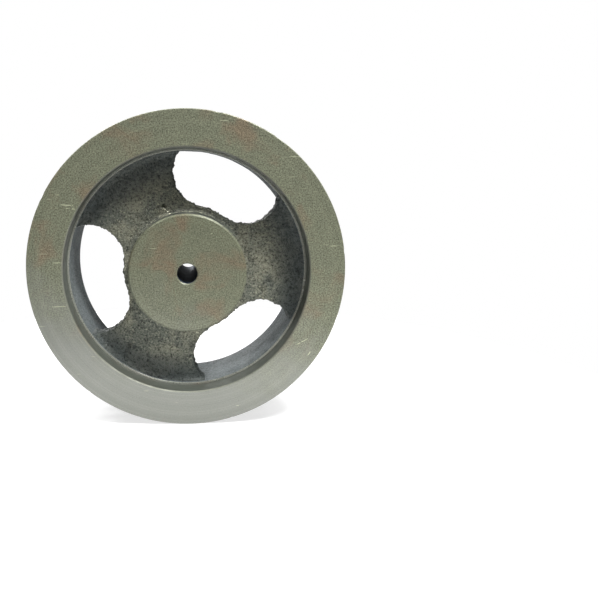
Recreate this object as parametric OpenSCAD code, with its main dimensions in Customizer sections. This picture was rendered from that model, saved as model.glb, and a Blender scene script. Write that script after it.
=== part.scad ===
// Cast-iron V-belt pulley: a grooved rim, three arms and an offset hub.
// The pulley stands upright: its axis is Y, and -Y is the side where hub and rim are flush.

/* [Grooves] */
// Outside diameter over the lands
outer_d = 267; // [250:1:300]
// Distance from one groove to the next
groove_pitch = 19; // [18:0.5:22]
// Full angle between the two walls of a groove
groove_angle = 34; // [34:1:40]
// Depth of a groove below the lands
groove_depth = 15; // [12:0.5:16]
// Width of the flat land between two grooves
land_w = 3.8; // [3:0.1:5]
// Width of the flat land at each end of the rim
end_land_w = 5.9; // [4:0.1:10]

/* [Rim] */
// Thickness of the rim below the groove bottoms
rim_wall_t = 17; // [12:0.5:20]
// Depth of the machined counterbore in the flush side
counterbore_depth = 18; // [12:0.5:22]
// Height of the shoulder between the counterbore and the cast wall
shoulder_h = 2; // [1:0.1:3]

/* [Arms] */
// How far the arms lie below the rim's face on the flush side
arm_recess = 24; // [22:0.5:30]
// Thickness of the arms along the axis
arm_t = 15; // [10:0.5:20]
// Angle of the first arm above the horizontal
first_arm_angle = 6; // [0:1:30]
// Half of a window's width, across its centre line
window_half_w = 48; // [46:0.5:50]
// Fillet between an arm and the ledge around the hub
hub_fillet_r = 30; // [26:0.5:30]
// Fillet between an arm and the rim
rim_fillet_r = 10; // [8:0.5:10]

/* [Hub] */
// Outside diameter of the hub
hub_d = 100; // [90:1:102]
// How far the hub stands out of the rim on the +Y side
hub_stand_out = 16; // [5:0.5:30]
// Ledge of web left between the hub and a window
ledge_w = 5.4; // [5:0.1:6]
// Diameter of the plain pilot bore
bore_d = 17; // [13:0.5:30]

/* [Hidden] */
$fn = 180;

arm_count = 3;
wall_count = 5;
groove_count = wall_count - 1;

// How far a rim fillet's arc runs into the rim, so that an arm ends in a blunt corner
fillet_reach = 1;
// Least straight side of an arm between its two fillets
arm_side = 0.5;
// Broken edges
land_edge = 0.5;
face_edge = 1;
hub_edge = 1.5;
bore_edge = 1;

outer_r = outer_d / 2;
groove_r = outer_r - groove_depth;
wall_lean = groove_depth * tan(groove_angle / 2);
groove_top_w = groove_pitch - land_w;
groove_bottom_w = groove_top_w - 2 * wall_lean;
face_w = (groove_count - 1) * groove_pitch + groove_top_w + 2 * end_land_w;
face_z = face_w / 2;

cast_r = groove_r - rim_wall_t;
counterbore_r = cast_r + shoulder_h;
shoulder_z = face_z - counterbore_depth;
arm_front_z = face_z - arm_recess;
arm_back_z = arm_front_z - arm_t;
arm_spacing = 360 / arm_count;

hub_r = hub_d / 2;
hub_back_z = -face_z - hub_stand_out;
bore_r = bore_d / 2;
ledge_r = hub_r + ledge_w;

// Centres of the two corner arcs on one side of a window that lies along +y
rim_corner_x = window_half_w - rim_fillet_r;
rim_corner_r = cast_r + fillet_reach - rim_fillet_r;
rim_corner = [rim_corner_x, sqrt(pow(rim_corner_r, 2) - pow(rim_corner_x, 2))];

// The largest hub fillet that leaves room for the rim fillet
hub_arc_room = pow(rim_corner.y - arm_side, 2) + pow(window_half_w, 2) - pow(ledge_r, 2);
hub_arc_r = min(hub_fillet_r, hub_arc_room / (2 * (ledge_r + window_half_w)));
hub_corner_x = window_half_w - hub_arc_r;
hub_corner = [hub_corner_x, sqrt(pow(ledge_r + hub_arc_r, 2) - pow(hub_corner_x, 2))];
arc_steps = 12;

// Points on a circle of radius r about c, from one angle to another
function arc(c, r, from, to) =
    [for (i = [0:arc_steps]) let (a = from + (to - from) * i / arc_steps) c + r * [cos(a), sin(a)]];

function bearing(p) = atan2(p.y, p.x);

// Parts are drawn with the axis along z, then stood up with z towards -Y and y towards +Z
module stand_up() rotate([90, 0, 0]) children();

// One side of a window: the ledge, the fillet to the arm, the fillet to the rim and the rim
module half_window() {
    polygon(concat(
        arc([0, 0], ledge_r, 90, bearing(hub_corner)),
        arc(hub_corner, hub_arc_r, bearing(hub_corner) + 180, 360),
        arc(rim_corner, rim_fillet_r, 0, bearing(rim_corner)),
        arc([0, 0], cast_r + shoulder_h, bearing(rim_corner), 90)
    ));
}

module window() {
    half_window();
    mirror([1, 0]) half_window();
}

// A wedge centred on +x that holds one arm and half of the window on each side of it
module arm_sector() {
    polygon([
        [0, 0],
        2 * outer_r * [cos(arm_spacing / 2), -sin(arm_spacing / 2)],
        2 * outer_r * [cos(arm_spacing / 2), sin(arm_spacing / 2)]
    ]);
}

module arm_outline() {
    difference() {
        intersection() {
            circle(r = cast_r);
            arm_sector();
        }
        circle(r = hub_r);
        for (side = [-1, 1]) rotate(side * arm_spacing / 2 - 90) window();
    }
}

module arm(number) {
    color("dimgray")
    stand_up()
    rotate(first_arm_angle + (number - 1) * arm_spacing)
    translate([0, 0, arm_back_z])
    linear_extrude(arm_t)
    arm_outline();
}

module hub() {
    color("#6b6c5a")
    stand_up()
    rotate_extrude()
    polygon([
        [bore_r + bore_edge, hub_back_z],
        [hub_r - hub_edge, hub_back_z],
        [hub_r, hub_back_z + hub_edge],
        [hub_r, face_z - hub_edge],
        [hub_r - hub_edge, face_z],
        [bore_r + bore_edge, face_z],
        [bore_r, face_z - bore_edge],
        [bore_r, hub_back_z + bore_edge]
    ]);
}

module rim_barrel() {
    color("#5d5e50")
    stand_up()
    rotate_extrude()
    polygon([
        [groove_r, -face_z],
        [groove_r, face_z],
        [counterbore_r + face_edge, face_z],
        [counterbore_r, face_z - face_edge],
        [counterbore_r, shoulder_z],
        [cast_r, shoulder_z],
        [cast_r, arm_back_z],
        [counterbore_r, face_edge - face_z],
        [counterbore_r + face_edge, -face_z]
    ]);
}

// A wall between two grooves
module inner_wall_profile() {
    half_base = land_w / 2 + wall_lean;
    polygon([
        [groove_r, -half_base],
        [outer_r - land_edge, -land_w / 2],
        [outer_r, land_edge - land_w / 2],
        [outer_r, land_w / 2 - land_edge],
        [outer_r - land_edge, land_w / 2],
        [groove_r, half_base]
    ]);
}

// A wall between the last groove and the flat side of the rim, which is at z = face_z
module end_wall_profile() {
    polygon([
        [groove_r, face_z - end_land_w - wall_lean],
        [outer_r - land_edge, face_z - end_land_w],
        [outer_r, face_z - end_land_w + land_edge],
        [outer_r, face_z - face_edge],
        [outer_r - face_edge, face_z],
        [groove_r, face_z]
    ]);
}

module groove_wall(number) {
    middle = (wall_count + 1) / 2;
    color("#66675a")
    stand_up()
    rotate_extrude()
    if (number == 1) {
        end_wall_profile();
    } else if (number == wall_count) {
        mirror([0, 1]) end_wall_profile();
    } else {
        translate([0, (middle - number) * groove_pitch]) inner_wall_profile();
    }
}

hub();
rim_barrel();
for (i = [1:arm_count]) arm(i);
for (i = [1:wall_count]) groove_wall(i);
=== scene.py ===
"""The look of a cast-iron V-belt pulley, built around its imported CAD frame."""
import math
import random

import bmesh
import bpy
from mathutils import Euler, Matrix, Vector, noise


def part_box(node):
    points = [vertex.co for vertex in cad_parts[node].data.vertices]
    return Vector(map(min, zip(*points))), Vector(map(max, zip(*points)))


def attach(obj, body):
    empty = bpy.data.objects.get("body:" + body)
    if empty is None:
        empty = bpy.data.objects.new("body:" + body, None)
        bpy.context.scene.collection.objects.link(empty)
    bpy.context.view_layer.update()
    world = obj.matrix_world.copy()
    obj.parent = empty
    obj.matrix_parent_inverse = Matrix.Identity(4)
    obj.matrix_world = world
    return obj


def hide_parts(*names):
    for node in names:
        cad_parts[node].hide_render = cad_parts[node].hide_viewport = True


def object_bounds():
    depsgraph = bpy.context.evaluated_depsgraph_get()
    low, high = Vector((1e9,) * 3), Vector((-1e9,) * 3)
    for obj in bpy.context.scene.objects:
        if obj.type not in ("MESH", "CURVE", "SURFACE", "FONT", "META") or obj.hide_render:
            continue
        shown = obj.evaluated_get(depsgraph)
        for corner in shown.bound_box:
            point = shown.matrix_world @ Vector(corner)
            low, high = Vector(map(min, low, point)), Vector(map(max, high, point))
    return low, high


MM = 0.001
NEAR = 0.01 * MM
RIM_SEGMENTS = 480
HUB_SEGMENTS = 240
VOXEL = 0.85 * MM
FLOOR_R = 0.45
WALLS = ["groove_wall_1", "groove_wall_2", "groove_wall_3", "groove_wall_4", "groove_wall_5"]
ARMS = ["arm_1", "arm_2", "arm_3"]

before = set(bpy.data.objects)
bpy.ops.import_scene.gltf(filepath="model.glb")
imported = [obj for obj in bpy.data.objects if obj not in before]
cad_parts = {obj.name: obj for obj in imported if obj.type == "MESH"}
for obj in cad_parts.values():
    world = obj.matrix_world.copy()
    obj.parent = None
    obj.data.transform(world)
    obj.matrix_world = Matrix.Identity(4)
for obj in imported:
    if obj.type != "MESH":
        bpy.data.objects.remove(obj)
cad_low, cad_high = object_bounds()


# ---------------------------------------------------------------- reading the frame

def stations(node):
    """The (y, least radius, greatest radius) of a turned CAD node wherever its outline has corners."""
    found = {}
    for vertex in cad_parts[node].data.vertices:
        x, y, z = vertex.co
        found.setdefault(round(y, 5), []).append(math.hypot(x, z))
    return [(y, min(radii), max(radii)) for y, radii in sorted(found.items())]


BARREL = stations("rim_barrel")
FRONT_Y, BACK_Y = BARREL[0][0], BARREL[-1][0]
MOUTH_R, GROOVE_R = BARREL[0][1], BARREL[0][2]
FRONT_EDGE_Y, COUNTERBORE_R = BARREL[1][0], BARREL[1][1]
SHOULDER_Y, CAST_R = BARREL[2][0], BARREL[2][1]
BACK_EDGE_Y = BARREL[-2][0]
ARM_FRONT_Y, ARM_BACK_Y = (corner.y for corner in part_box("arm_1"))
OUTER_R = max(station[2] for station in stations("groove_wall_1"))

HUB = stations("hub")
HUB_FRONT_Y, HUB_BACK_Y = HUB[0][0], HUB[-1][0]
HUB_FACE_R = HUB[0][2]
HUB_R = max(station[2] for station in HUB)
BORE_R = min(station[1] for station in HUB)
BORE_MOUTH_R = HUB[0][1]
BORE_EDGE = BORE_MOUTH_R - BORE_R
HUB_EDGE = HUB_R - HUB_FACE_R


# ---------------------------------------------------------------- turned pieces

def rounded_outline(corners, steps=3, support=0.15 * MM):
    """A closed outline of (r, y, tag) points from (r, y, corner radius, tag) corners.
    The tag names the material of the side that starts at its corner."""
    points = []
    count = len(corners)
    for i, (r, y, radius, tag) in enumerate(corners):
        here = Vector((r, y))
        before = Vector(corners[i - 1][:2]) - here
        after = Vector(corners[(i + 1) % count][:2]) - here
        old_tag = corners[i - 1][3]
        if radius == 0:
            points.append((r, y, tag))
            continue
        u, v = before.normalized(), after.normalized()
        half = u.angle(v) / 2
        reach = radius / math.tan(half)
        centre = here + (u + v).normalized() * (radius / math.sin(half))
        start, end = here + u * reach - centre, here + v * reach - centre
        points.append((*(here + u * (reach + support)), old_tag))
        turn = math.pi - 2 * half
        for k in range(steps + 1):
            a = turn * k / steps
            arm = (start * math.sin(turn - a) + end * math.sin(a)) / math.sin(turn)
            points.append((*(centre + arm), old_tag if k < steps else tag))
        points.append((*(here + v * (reach + support)), tag))
    return points


def divide(points, tag, step):
    """Adds points along the sides that carry a tag, no further apart than step."""
    out = []
    for i, (r, y, own) in enumerate(points):
        out.append((r, y, own))
        nr, ny, _ = points[(i + 1) % len(points)]
        length = math.hypot(nr - r, ny - y)
        if own == tag and length > step:
            parts = math.ceil(length / step)
            for k in range(1, parts):
                out.append((r + (nr - r) * k / parts, y + (ny - y) * k / parts, own))
    return out


def lathe(name, outline, segments, materials, shape=None):
    """A closed ring about the Y axis. shape(r, y, angle) may return a moved (r, y)."""
    count = len(outline)
    vertices = []
    for s in range(segments):
        angle = 2 * math.pi * s / segments
        for r, y, _ in outline:
            if shape:
                r, y = shape(r, y, angle)
            vertices.append((r * math.sin(angle), y, r * math.cos(angle)))
    faces = []
    for s in range(segments):
        a, b = s * count, (s + 1) % segments * count
        for i in range(count):
            j = (i + 1) % count
            faces.append((a + i, a + j, b + j, b + i))
    mesh = bpy.data.meshes.new(name)
    mesh.from_pydata(vertices, [], faces)
    tags = sorted({tag for _, _, tag in outline})
    for tag in tags:
        mesh.materials.append(materials[tag])
    own = [tags.index(tag) for _, _, tag in outline]
    mesh.polygons.foreach_set("material_index", own * segments)
    piece = bpy.data.objects.new(name, mesh)
    bpy.context.scene.collection.objects.link(piece)
    face_outwards(mesh)
    smooth(mesh)
    return piece


def face_outwards(mesh):
    """Turns every face of a closed mesh to the outside."""
    shape = bmesh.new()
    shape.from_mesh(mesh)
    bmesh.ops.recalc_face_normals(shape, faces=shape.faces)
    shape.to_mesh(mesh)
    shape.free()


def smooth(mesh, angle=35):
    """Shades a mesh smooth, except at edges sharper than this many degrees."""
    mesh.shade_smooth()
    mesh.set_sharp_from_angle(angle=math.radians(angle))


def settle(piece, slot, *nodes):
    """The piece rides on the pulley and stands for these CAD nodes."""
    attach(piece, "root")
    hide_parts(*nodes)
    return piece


def nicks(seed, count, radius):
    """Small dents along an edge: (angle, half length along the edge, depth) each."""
    draw = random.Random(seed)
    return [
        (
            draw.uniform(0, 2 * math.pi),
            draw.uniform(1.5, 4.5) * MM / radius,
            draw.uniform(0.12, 0.45) * MM,
        )
        for _ in range(count)
    ]


def dent_at(dents, angle):
    """How deep the dents are at this angle round the edge."""
    depth = 0
    for at, half_length, deepest in dents:
        gap = abs((angle - at + math.pi) % (2 * math.pi) - math.pi)
        if gap < half_length:
            depth = max(depth, deepest * (1 - (gap / half_length) ** 2))
    return depth


def wall_outline(node):
    """The trapezium of a groove wall, with land corners rounded by wear and a small fillet at its foot.
    """
    rows = stations(node)
    foot = [row[0] for row in rows if row[1] < GROOVE_R + NEAR]
    top = [row[0] for row in rows if row[2] > OUTER_R - NEAR]
    first_end = abs(foot[0] - FRONT_Y) < NEAR
    last_end = abs(foot[-1] - BACK_Y) < NEAR
    end_edge, land_edge = FRONT_EDGE_Y - FRONT_Y, 0.5 * MM
    end_round, land_round, foot_round = 0.7 * MM, 0.45 * MM, 1.1 * MM
    lift, reach = 0.05 * MM, 1.6 * MM
    low = top[0] - (end_edge if first_end else land_edge)
    high = top[-1] + (end_edge if last_end else land_edge)
    corners = [
        (OUTER_R, low, end_round if first_end else land_round, "land"),
        (OUTER_R, high, end_round if last_end else land_round, "face" if last_end else "flank"),
    ]
    if last_end:
        corners.append((GROOVE_R, foot[-1], 0, "flank"))
    else:
        corners.append((GROOVE_R + lift, foot[-1], foot_round, "flank"))
        corners.append((GROOVE_R, foot[-1] + reach, 0, "flank"))
    if first_end:
        corners.append((GROOVE_R, foot[0], 0, "face"))
    else:
        corners.append((GROOVE_R, foot[0] - reach, 0, "flank"))
        corners.append((GROOVE_R + lift, foot[0], foot_round, "flank"))
    return rounded_outline(corners)


def groove_wall(node, materials):
    """One wall between two grooves, with nicks along the corners of its land."""
    dents = nicks(node, 9, OUTER_R)
    zone = 1.4 * MM

    def shape(r, y, angle):
        if r > OUTER_R - zone:
            r -= dent_at(dents, angle) * (1 - (OUTER_R - r) / zone)
        return r, y

    piece = lathe(node + "_turned", wall_outline(node), RIM_SEGMENTS, materials, shape)
    return settle(piece, "groove_iron", node)


def rim_barrel(materials):
    """The ring under the grooves: counterbore, shoulder, and a wavy cast wall behind them."""
    edge_round = 0.3 * MM
    corners = [
        (GROOVE_R, FRONT_Y, 0, "face"),
        (MOUTH_R, FRONT_Y, 0.2 * MM, "edge"),
        (COUNTERBORE_R, FRONT_EDGE_Y, edge_round, "bored"),
        (COUNTERBORE_R, SHOULDER_Y, 0.35 * MM, "lip"),
        (CAST_R, SHOULDER_Y, 0.5 * MM, "wall"),
        (CAST_R, ARM_BACK_Y, 1 * MM, "wall"),
        (COUNTERBORE_R, BACK_EDGE_Y, edge_round, "face"),
        (MOUTH_R, BACK_Y, edge_round, "face"),
        (GROOVE_R, BACK_Y, 0, "groove"),
    ]
    outline = divide(rounded_outline(corners), "wall", 1.8 * MM)
    wavy_r, wavy_y = COUNTERBORE_R - 0.2 * MM, SHOULDER_Y + 0.8 * MM
    wave_height, wave_length = 0.5 * MM, 14 * MM

    def shape(r, y, angle):
        if r < wavy_r and y > wavy_y:
            at = Vector((math.sin(angle), 0, math.cos(angle))) * r + Vector((0, y, 0))
            r += wave_height * noise.fractal(at / wave_length, 1.0, 2.0, 3)
        return r, y

    piece = lathe("rim_barrel_turned", outline, RIM_SEGMENTS, materials, shape)
    return settle(piece, "rim_iron", "rim_barrel")


def hub(materials):
    """The hub with its bore, and small nicks along the corners of its faces."""
    edge_round, bore_round = 0.5 * MM, 0.2 * MM
    corners = [
        (BORE_MOUTH_R, HUB_FRONT_Y, bore_round, "boss"),
        (HUB_FACE_R, HUB_FRONT_Y, edge_round, "boss"),
        (HUB_R, HUB_FRONT_Y + HUB_EDGE, edge_round, "side"),
        (HUB_R, HUB_BACK_Y - HUB_EDGE, edge_round, "boss"),
        (HUB_FACE_R, HUB_BACK_Y, edge_round, "boss"),
        (BORE_MOUTH_R, HUB_BACK_Y, bore_round, "boss"),
        (BORE_R, HUB_BACK_Y - BORE_EDGE, bore_round, "bore"),
        (BORE_R, HUB_FRONT_Y + BORE_EDGE, bore_round, "boss"),
    ]
    dents = nicks("hub", 7, HUB_R)
    dent_share = 0.7

    def shape(r, y, angle):
        near = min(y - HUB_FRONT_Y, HUB_BACK_Y - y)
        if r > HUB_R - 1.2 * HUB_EDGE and near < HUB_EDGE:
            r -= dent_share * dent_at(dents, angle) * (1 - near / HUB_EDGE)
        return r, y

    piece = lathe("hub_turned", rounded_outline(corners), HUB_SEGMENTS, materials, shape)
    return settle(piece, "hub_iron", "hub")


# ---------------------------------------------------------------- the cast arms

def solid_copy(node):
    """A watertight copy of a CAD node, for Blender to work on."""
    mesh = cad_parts[node].data.copy()
    shape = bmesh.new()
    shape.from_mesh(mesh)
    bmesh.ops.remove_doubles(shape, verts=shape.verts, dist=0.002 * MM)
    bmesh.ops.recalc_face_normals(shape, faces=shape.faces)
    shape.to_mesh(mesh)
    shape.free()
    copy = bpy.data.objects.new(node + "_copy", mesh)
    bpy.context.scene.collection.objects.link(copy)
    return copy


def applied(piece):
    """Replaces a piece's mesh with the mesh that its modifiers make."""
    graph = bpy.context.evaluated_depsgraph_get()
    mesh = bpy.data.meshes.new_from_object(piece.evaluated_get(graph))
    piece.modifiers.clear()
    piece.data = mesh


def web_solid():
    """The three arms joined into one even mesh."""
    web, *others = [solid_copy(node) for node in ARMS]
    for other in others:
        join = web.modifiers.new("join", "BOOLEAN")
        join.operation = "UNION"
        join.solver = "EXACT"
        join.object = other
    remesh = web.modifiers.new("even", "REMESH")
    remesh.mode = "VOXEL"
    remesh.voxel_size = VOXEL
    applied(web)
    for other in others:
        bpy.data.objects.remove(other)
    return web


def ease(x):
    """A smooth step from 0 to 1."""
    x = max(0.0, min(1.0, x))
    return x * x * (3 - 2 * x)


def fillet(distance, radius):
    """How far a concave fillet has risen at this distance from the wall it climbs."""
    if distance >= radius:
        return 0.0
    gap = radius - max(distance, 0.0)
    return radius - math.sqrt(max(radius * radius - gap * gap, 0.0))


# Sand pits in the front of the web: (angle, distance from the axis, radius) each
PITS = [
    (math.radians(-15), 68 * MM, 4.2 * MM),
    (math.radians(-8), 73 * MM, 2.6 * MM),
    (math.radians(232), 86 * MM, 3.2 * MM),
    (math.radians(110), 58 * MM, 2.2 * MM),
]
PIT_DEPTH = 2.6 * MM
HOLE_DEPTH = 0.9 * MM
HOLE_SHARE = 0.16
HUB_FILLET = 3 * MM
RIM_FILLET_FRONT = 5.5 * MM
RIM_FILLET_BACK = 7 * MM
SUNK = 1.5 * MM
SUNK_ZONE = 0.6 * MM


def pitted(p, flat, crumb):
    """How deep the sand pits are at this point of the web's front."""
    depth = 0.0
    for angle, at_r, size in PITS:
        gap = math.dist((p.x, p.z), (at_r * math.cos(angle), at_r * math.sin(angle))) / size
        if gap < 1:
            depth += PIT_DEPTH * (1 - gap * gap) * flat * (0.7 + crumb)
    return depth


def roughen(web):
    """Gives the web its cast skin: a wavy surface, grain, jagged window edges, pits and fillets.
    Its ends are sunk into the hub and the rim, so that no gap shows."""
    mesh = web.data
    middle_y = (ARM_FRONT_Y + ARM_BACK_Y) / 2
    half_t = (ARM_BACK_Y - ARM_FRONT_Y) / 2
    normals = [vertex.normal.copy() for vertex in mesh.vertices]
    for vertex, normal in zip(mesh.vertices, normals):
        p = vertex.co.copy()
        r = math.hypot(p.x, p.z)
        outward = Vector((p.x, 0, p.z)) / r
        front = normal.y < 0
        flat = abs(normal.y)
        side = 1 - ease(flat * 1.6)
        free = ease(min(r - HUB_R, CAST_R - r) / (2 * MM))
        grain = noise.fractal(p / (2.6 * MM), 0.8, 2.1, 3)
        swell = noise.fractal(p / (26 * MM), 1.0, 2.0, 2)
        move = normal * (0.16 * grain + 0.45 * swell) * MM * free
        tooth = noise.noise(p / (5.5 * MM) + Vector((7, 3, 1)))
        crumb = noise.fractal(p / (2.2 * MM) + Vector((1, 9, 4)), 0.7, 2.2, 2)
        seam = 1 - min(1, abs(p.y - middle_y) / half_t)
        edge = (0.8 * tooth + 1.0 * crumb + 3.0 * max(0, tooth - 0.1) * seam) * MM
        move += normal * edge * side * free
        hole = noise.voronoi(p / (13 * MM))[0][0]
        lucky = noise.noise(p / (31 * MM) + Vector((4, 4, 4)))
        if lucky > 0.05 and hole < HOLE_SHARE:
            move -= normal * (HOLE_DEPTH * (1 - hole / HOLE_SHARE) * flat * free)
        if front:
            move.y += pitted(p, flat, crumb)
        p += move
        climb = fillet(r - HUB_R, HUB_FILLET)
        climb += fillet(CAST_R - r, RIM_FILLET_FRONT if front else RIM_FILLET_BACK)
        p.y += climb * flat * (-1 if front else 1)
        if r < HUB_R + SUNK_ZONE:
            p -= outward * SUNK
        if r > CAST_R - SUNK_ZONE:
            p += outward * SUNK
        vertex.co = p
    mesh.update()


def cut_sector(web, node, material):
    """The third of the web around one arm, as a closed piece."""
    mesh = web.data.copy()
    shape = bmesh.new()
    shape.from_mesh(mesh)
    angle = arm_angle(node)
    for side in (-1, 1):
        edge = angle + side * math.pi / len(ARMS)
        beyond = Vector((-math.sin(edge), 0, math.cos(edge))) * side
        everything = shape.verts[:] + shape.edges[:] + shape.faces[:]
        cut = bmesh.ops.bisect_plane(
            shape, geom=everything, dist=1e-7, plane_co=(0, 0, 0), plane_no=beyond, clear_outer=True
        )["geom_cut"]
        rim = [item for item in cut if isinstance(item, bmesh.types.BMEdge) and item.is_boundary]
        bmesh.ops.triangle_fill(shape, edges=rim, use_beauty=True)
    bmesh.ops.recalc_face_normals(shape, faces=shape.faces)
    shape.to_mesh(mesh)
    shape.free()
    mesh.materials.clear()
    mesh.materials.append(material)
    smooth(mesh, 60)
    piece = bpy.data.objects.new(node + "_casting", mesh)
    bpy.context.scene.collection.objects.link(piece)
    return settle(piece, "cast_skin", node)


def arm_angle(node):
    """The direction of an arm's middle, from its mesh's own weight."""
    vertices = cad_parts[node].data.vertices
    x = sum(vertex.co.x for vertex in vertices)
    z = sum(vertex.co.z for vertex in vertices)
    return math.atan2(z, x)


def arms(material):
    """The three cast arms, each its own piece."""
    web = web_solid()
    roughen(web)
    for node in ARMS:
        cut_sector(web, node, material)
    bpy.data.objects.remove(web)


# ---------------------------------------------------------------- materials

def linear(red, green, blue):
    """A colour given as 0 to 255 on screen, as linear light."""
    return tuple(
        (c / 255 / 12.92 if c < 11 else ((c / 255 + 0.055) / 1.055) ** 2.4)
        for c in (red, green, blue)
    ) + (1,)


def lighter(colour, times):
    """The same colour with this many times its light."""
    return tuple(min(1.0, channel * times) for channel in colour[:3]) + (1,)


# Painted sheen: the paler, greyer colour painted on the lower part of the turned faces, standing for
# the reflection of the bright floor
PAINTED_SHEEN = linear(126, 128, 121)
# Where the brown mottle's pattern lies
MOTTLE = (0.063, 0.0, 0.006)
# The longest scratches on the turned faces: (x, z, length, tilt) each
SCORES = [
    (-94 * MM, 57 * MM, 20 * MM, 0.05),
    (-92 * MM, 54 * MM, 14 * MM, 0.05),
    (98 * MM, -60 * MM, 14 * MM, -0.5),
    (105 * MM, -70 * MM, 6 * MM, -0.9),
    (110 * MM, -12 * MM, 3 * MM, 0.6),
    (20 * MM, 33 * MM, 5 * MM, -0.7),
]


class Graph:
    """Builds one node material. Inputs are numbers, colours or other nodes' outputs."""

    def __init__(self, name):
        self.material = bpy.data.materials.new(name)
        self.material.use_nodes = True
        self.tree = self.material.node_tree
        self.shader = self.tree.nodes["Principled BSDF"]
        place = self.node("ShaderNodeTexCoord")
        self.place = place.outputs["Object"]

    def node(self, kind, inputs=None, **settings):
        made = self.tree.nodes.new(kind)
        for key, value in settings.items():
            setattr(made, key, value)
        for key, value in (inputs or {}).items():
            self.feed(made.inputs[key], value)
        return made

    def feed(self, socket, value):
        if isinstance(value, bpy.types.NodeSocket):
            self.tree.links.new(value, socket)
        else:
            socket.default_value = value

    def math(self, operation, a, b=0.5, clamp=False):
        made = self.node("ShaderNodeMath", {0: a, 1: b}, operation=operation, use_clamp=clamp)
        return made.outputs[0]

    def noise(self, size, detail=3, rough=0.55, at=None, distortion=0):
        """3D noise with features of about this size in metres."""
        inputs = {
            "Vector": at or self.place, "Scale": 1 / size, "Detail": detail,
            "Roughness": rough, "Distortion": distortion,
        }
        return self.node("ShaderNodeTexNoise", inputs).outputs["Fac"]

    def radius(self):
        """Distance from the bore's axis."""
        flat = self.node("ShaderNodeVectorMath", {0: self.place, 1: (1, 0, 1)}, operation="MULTIPLY")
        length = self.node("ShaderNodeVectorMath", {0: flat.outputs[0]}, operation="LENGTH")
        return length.outputs["Value"]

    def lines(self, size, detail=2):
        """Noise along the turning direction: circles on a face, bands along a cylinder."""
        axes = self.node("ShaderNodeSeparateXYZ", {"Vector": self.place})
        along = self.math("ADD", self.radius(), axes.outputs["Y"])
        inputs = {"W": along, "Scale": 1 / size, "Detail": detail}
        return self.node("ShaderNodeTexNoise", inputs, noise_dimensions="1D").outputs["Fac"]

    def lower_sheen(self):
        """How far the painted sheen pales a face: a ragged edge across the pulley, paler below and a
        little more to the left. It stands for the reflection of the bright floor, not for wear.
        """
        axes = self.node("ShaderNodeSeparateXYZ", {"Vector": self.place})
        slant = self.math("MULTIPLY", axes.outputs["X"], -0.25)
        drop = self.math("SUBTRACT", slant, axes.outputs["Z"])
        ragged = self.math("MULTIPLY", self.math("SUBTRACT", self.noise(40 * MM, 4, 0.6), 0.5), 0.12)
        return self.span(self.math("ADD", drop, ragged), 0.0, 0.11)

    def scores(self, marks):
        """Thin straight scratches on a flat face: (x, z, length, tilt) each."""
        total = 0.0
        for x, z, length, tilt in marks:
            place = {"Vector": self.place, "Location": (x, 0, z), "Rotation": (0, tilt, 0)}
            local = self.node("ShaderNodeMapping", place, vector_type="TEXTURE").outputs[0]
            axes = self.node("ShaderNodeSeparateXYZ", {"Vector": local})
            off = self.math("ABSOLUTE", axes.outputs["Z"])
            run = self.math("ABSOLUTE", axes.outputs["X"])
            line = self.math("MULTIPLY", self.span(off, 0.45 * MM, 0.1 * MM),
                             self.span(run, length / 2, length / 3))
            total = self.math("MAXIMUM", total, line)
        broken = self.span(self.noise(2.5 * MM, 2), 0.4, 0.52)
        return self.math("MULTIPLY", total, broken)

    def span(self, value, low, high, to_low=0.0, to_high=1.0):
        inputs = {0: value, 1: low, 2: high, 3: to_low, 4: to_high}
        return self.node("ShaderNodeMapRange", inputs, interpolation_type="SMOOTHSTEP").outputs[0]

    def mix(self, share, a, b, blend="MIX"):
        made = self.node("ShaderNodeMix", data_type="RGBA", blend_type=blend)
        self.feed(made.inputs[0], share)
        self.feed(made.inputs[6], a)
        self.feed(made.inputs[7], b)
        return made.outputs[2]

    def bump(self, height, depth, strength=1.0, normal=None):
        inputs = {"Height": height, "Distance": depth, "Strength": strength}
        if normal:
            inputs["Normal"] = normal
        return self.node("ShaderNodeBump", inputs).outputs["Normal"]

    def finish(self, colour, rough, normal, metallic):
        self.feed(self.shader.inputs["Base Color"], colour)
        self.feed(self.shader.inputs["Roughness"], rough)
        self.feed(self.shader.inputs["Normal"], normal)
        self.feed(self.shader.inputs["Metallic"], metallic)
        return self.material


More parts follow.
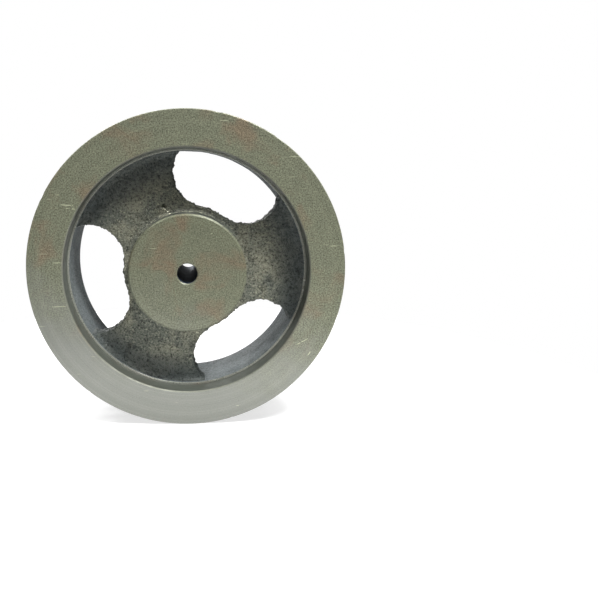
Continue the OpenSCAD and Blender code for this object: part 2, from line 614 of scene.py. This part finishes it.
def turned_iron(name, green, brown, dark, rough, metallic,
                marks=1.0, contrast=0.16, sheen_and_scores=0.0, grain_mm=1.2):
    """Lathe-turned iron under a thin film: mottled tint, fine circles, pores and light scratches.
    A face's lower part can be paled by a painted sheen, standing for the reflection of the bright floor
    and not for wear; the setting after contrast sets how strongly, and a face with it is also scored."""
    g = Graph(name)
    moved = g.node("ShaderNodeMapping", {"Vector": g.place, "Location": MOTTLE}).outputs[0]
    mottle = g.noise(34 * MM, 3, 0.6, at=moved, distortion=0.6)
    tint = g.mix(g.span(mottle, 0.5, 0.72), green, brown)
    cloud = g.noise(9 * MM, 4, 0.6)
    tint = g.mix(g.span(cloud, 0.3, 0.75, 0.0, 0.25), tint, dark)
    scored = 0.0
    # Painted sheen: the lower part of the face turns paler and greyer and its grain fades, standing for
    # the reflection of the bright floor. The scratches drawn with it are real wear.
    if sheen_and_scores:
        lower_sheen = g.math("MULTIPLY", g.lower_sheen(), sheen_and_scores)
        tint = g.mix(lower_sheen, tint, PAINTED_SHEEN)
        contrast = g.span(lower_sheen, 0, 1, contrast, 0.1)
        scored = g.scores(SCORES)
    grain = g.noise(grain_mm * MM, 5, 0.8)
    rings = g.lines(0.9 * MM)
    shade = g.math("MULTIPLY", g.span(grain, 0.34, 0.66, -1.0, 1.0), contrast)
    shade = g.math("ADD", shade, g.span(rings, 0.3, 0.7, -0.06, 0.06))
    shade = g.math("ADD", shade, g.span(g.lines(6 * MM, 3), 0.3, 0.7, -0.04, 0.04))
    level = g.math("ADD", shade, 1.0)
    grey = g.node("ShaderNodeCombineColor", {0: level, 1: level, 2: level}).outputs[0]
    tint = g.mix(1.0, tint, grey, "MULTIPLY")
    pores = g.span(g.noise(0.9 * MM, 2, 0.5), 0.69, 0.74)
    tint = g.mix(g.math("MULTIPLY", pores, 0.55), tint, dark)
    stretch = {"Vector": g.place, "Rotation": (0, 0.35, 0), "Scale": (0.05, 1, 1)}
    along = g.node("ShaderNodeMapping", stretch).outputs[0]
    scratch = g.span(g.noise(1.1 * MM, 1, 0.4, at=along), 0.735, 0.76)
    scratch = g.math("MULTIPLY", scratch, g.span(g.noise(24 * MM, 1), 0.52, 0.6))
    scratch = g.math("MAXIMUM", scratch, scored)
    tint = g.mix(g.math("MULTIPLY", scratch, 0.85), tint, lighter(green, 3.0))
    gloss = g.span(cloud, 0.25, 0.75, rough - 0.06, rough + 0.06)
    gloss = g.math("ADD", gloss, g.span(grain, 0.3, 0.7, -0.05, 0.05))
    normal = g.bump(grain, 0.045 * MM * marks, 0.7)
    normal = g.bump(rings, 0.02 * MM * marks, 0.6, normal)
    normal = g.bump(g.math("ADD", pores, scratch), -0.05 * MM, 0.5, normal)
    return g.finish(tint, gloss, normal, metallic)


def cast_iron(name, pale, mid, dark, rim_shade_tint, grain_mm, depth, rough_low, rough_high, metallic, sparkle):
    """Sand-cast skin: sharp grain, dark hollows, and bright specks where crests catch the light. Toward
    the rim its colour turns to a slate tint with fewer specks: painted shade where the rim shadows the
    web.
    """
    g = Graph(name)
    coarse = g.noise(grain_mm * 3 * MM, 4, 0.65)
    sand = g.noise(grain_mm * MM, 5, 0.75, distortion=0.3)
    cell_inputs = {"Vector": g.place, "Scale": 1 / (grain_mm * 1.3 * MM)}
    cells = g.node("ShaderNodeTexVoronoi", cell_inputs).outputs["Distance"]
    height = g.math("ADD", g.math("MULTIPLY", sand, 0.6), g.math("MULTIPLY", cells, -0.25))
    height = g.math("ADD", height, g.math("MULTIPLY", coarse, 0.5))
    stain = g.noise(26 * MM, 4, 0.6, distortion=0.5)
    tint = g.mix(g.span(stain, 0.36, 0.66), mid, pale)
    # Painted shade: toward the rim the colour turns to the slate tint and the specks fade, standing for
    # the rim's shadow on the web.
    rim_shade = g.span(g.math("ADD", g.radius(), g.math("MULTIPLY", stain, 0.03)), 0.085, 0.11)
    tint = g.mix(g.math("MULTIPLY", rim_shade, 0.75), tint, rim_shade_tint)
    sparkle = g.span(rim_shade, 0.0, 1.0, sparkle, 0.1)
    tint = g.mix(g.span(coarse, 0.5, 0.3, 0.0, 0.55), tint, dark)
    tint = g.mix(g.span(sand, 0.52, 0.34, 0.0, 0.85), tint, dark)
    specks = g.math("MULTIPLY", g.span(sand, 0.57, 0.66), sparkle)
    tint = g.mix(specks, tint, lighter(pale, 2.4))
    rough = g.span(sand, 0.3, 0.66, rough_high, rough_low)
    return g.finish(tint, rough, g.bump(height, depth, 1.0), metallic)


def make_materials():
    """Each surface's material, under the tag that the outlines use."""
    return {
        # The turned face has a painted sheen on its lower part.
        "face": turned_iron("turned_face", linear(120, 123, 103), linear(126, 115, 95),
                            linear(83, 86, 70), 0.42, 0.2, contrast=0.6, sheen_and_scores=1.0),
        # The hub's face is a darker copy of the turned face: painted shade. It also has a weaker
        # painted sheen on its lower part.
        "boss": turned_iron("turned_hub_face_painted_shade", linear(112, 115, 95), linear(119, 107, 87),
                            linear(78, 81, 66), 0.42, 0.2, contrast=0.55, sheen_and_scores=0.55),
        "edge": turned_iron("worn_edge", linear(114, 116, 104), linear(116, 110, 96),
                            linear(84, 86, 75), 0.56, 0.2),
        # The shoulder lip's pale colour is a painted highlight: the bright line where the step's edge
        # catches the light.
        "lip": turned_iron("lip_painted_highlight", linear(160, 162, 152), linear(154, 149, 136),
                           linear(112, 114, 104), 0.3, 0.4),
        "land": turned_iron("turned_land", linear(74, 77, 62), linear(80, 71, 56),
                            linear(48, 50, 40), 0.33, 0.3, marks=3.4, contrast=0.3, grain_mm=3.0),
        # The counterbore's wall is darker than the turned face: painted shade in the recess under the
        # mouth.
        "bored": turned_iron("turned_bore_painted_shade", linear(94, 98, 90), linear(92, 89, 79),
                             linear(62, 65, 58), 0.4, 0.3),
        "groove": turned_iron("turned_groove", linear(66, 69, 56), linear(70, 64, 50),
                              linear(44, 46, 37), 0.24, 0.35, marks=2.8, grain_mm=2.6),
        "flank": turned_iron("turned_flank", linear(56, 58, 49), linear(57, 53, 44),
                             linear(38, 40, 33), 0.4, 0.4),
        # The hub's side is dark blue-grey: painted shade, with a painted reflection of a bluish
        # background.
        "side": turned_iron("turned_hub_side_painted_shade", linear(66, 72, 69), linear(67, 66, 60),
                            linear(47, 52, 50), 0.4, 0.45),
        # The bore's dark blue-grey is painted shade inside the hole, with a painted bluish reflection.
        "bore": turned_iron("drilled_bore_painted_shade", linear(54, 64, 80), linear(50, 55, 64),
                            linear(30, 36, 48), 0.45, 0.5),
        # The cast skin's dark slate tint toward the rim is painted shade.
        "skin": cast_iron("cast_skin", linear(134, 134, 116), linear(100, 104, 94), linear(26, 30, 30),
                          linear(66, 74, 76), 1.6, 1.1 * MM, 0.24, 0.8, 0.35, 1.0),
        # The rim's inner cast wall is paler and bluer than the cast skin: painted light where the wall
        # is lit.
        "wall": cast_iron("cast_wall_painted_light", linear(134, 139, 136), linear(110, 117, 117), linear(64, 70, 73),
                          linear(108, 115, 116), 1.8, 0.2 * MM, 0.42, 0.7, 0.25, 0.2),
    }


# ---------------------------------------------------------------- the studio

def pale_floor():
    """A wide round sheet of pale paper under the pulley."""
    shape = bmesh.new()
    bmesh.ops.create_circle(shape, cap_ends=True, segments=96, radius=FLOOR_R)
    bmesh.ops.translate(shape, verts=shape.verts, vec=(0, 0, cad_low.z))
    mesh = bpy.data.meshes.new("floor")
    shape.to_mesh(mesh)
    shape.free()
    material = bpy.data.materials.new("floor_paper")
    material.use_nodes = True
    shader = material.node_tree.nodes["Principled BSDF"]
    shader.inputs["Base Color"].default_value = (0.35, 0.35, 0.35, 1)
    shader.inputs["Roughness"].default_value = 0.9
    shader.inputs["Specular IOR Level"].default_value = 0.2
    shader.inputs["Emission Color"].default_value = (1, 1, 1, 1)
    shader.inputs["Emission Strength"].default_value = 0.72
    mesh.materials.append(material)
    floor = bpy.data.objects.new("floor", mesh)
    bpy.context.scene.collection.objects.link(floor)


def area_light(name, place, size, power, aim=(0, 0, 0)):
    """A soft light of this width and height, aimed at a point."""
    data = bpy.data.lights.new(name, "AREA")
    data.shape = "RECTANGLE"
    data.size, data.size_y = size
    data.energy = power
    light = bpy.data.objects.new(name, data)
    light.location = place
    light.rotation_euler = (Vector(aim) - Vector(place)).to_track_quat("-Z", "Y").to_euler()
    light.visible_camera = False
    bpy.context.scene.collection.objects.link(light)


def studio():
    """Soft lights round the pulley in a white room."""
    area_light("key", (0.54, -0.61, 1.32), (0.35, 0.35), 40)
    area_light("left", (-0.95, 0.05, 1.5), (0.3, 0.3), 20)
    area_light("right", (1.0, 0.3, 1.5), (0.6, 0.6), 12)
    area_light("back", (-0.6, 1.3, 1.0), (0.8, 0.8), 16)
    area_light("low", (0.01, -0.14, -0.12), (0.34, 0.02), 0.056, (0, FRONT_Y, -0.09))
    white_room()
    bpy.context.scene.view_settings.view_transform = "Standard"


def white_room():
    """White to look at, but dim as a light: brighter overhead than at the horizon."""
    world = bpy.data.worlds.new("studio")
    world.use_nodes = True
    tree = world.node_tree
    nodes, links = tree.nodes, tree.links
    place = nodes.new("ShaderNodeTexCoord")
    axes = nodes.new("ShaderNodeSeparateXYZ")
    rise = nodes.new("ShaderNodeMapRange")
    rise.inputs["To Min"].default_value = 0.08
    rise.inputs["To Max"].default_value = 0.4
    seen = nodes.new("ShaderNodeLightPath")
    choose = nodes.new("ShaderNodeMix")
    choose.inputs["B"].default_value = 1.0
    links.new(place.outputs["Generated"], axes.inputs[0])
    links.new(axes.outputs["Z"], rise.inputs["Value"])
    links.new(seen.outputs["Is Camera Ray"], choose.inputs["Factor"])
    links.new(rise.outputs["Result"], choose.inputs["A"])
    links.new(choose.outputs["Result"], nodes["Background"].inputs["Strength"])
    nodes["Background"].inputs["Color"].default_value = (1, 1, 1, 1)
    bpy.context.scene.world = world


def camera():
    """Looks at the flush side from a little above the axis, with the pulley left of the middle."""
    data = bpy.data.cameras.new("camera")
    data.lens = 37.8
    data.sensor_width = 36
    data.shift_x = 0.13
    eye = bpy.data.objects.new("camera", data)
    eye.location = (0.05 * OUTER_R, FRONT_Y - 3.9 * OUTER_R, 0.61 * OUTER_R)
    eye.rotation_euler = Euler((math.radians(90 - 11.2), 0, math.radians(-2.4)))
    bpy.context.scene.collection.objects.link(eye)
    bpy.context.scene.camera = eye


# ---------------------------------------------------------------- the pulley

camera()
studio()
pale_floor()
iron = make_materials()
rim_barrel(iron)
for wall in WALLS:
    groove_wall(wall, iron)
hub(iron)
arms(iron["skin"])
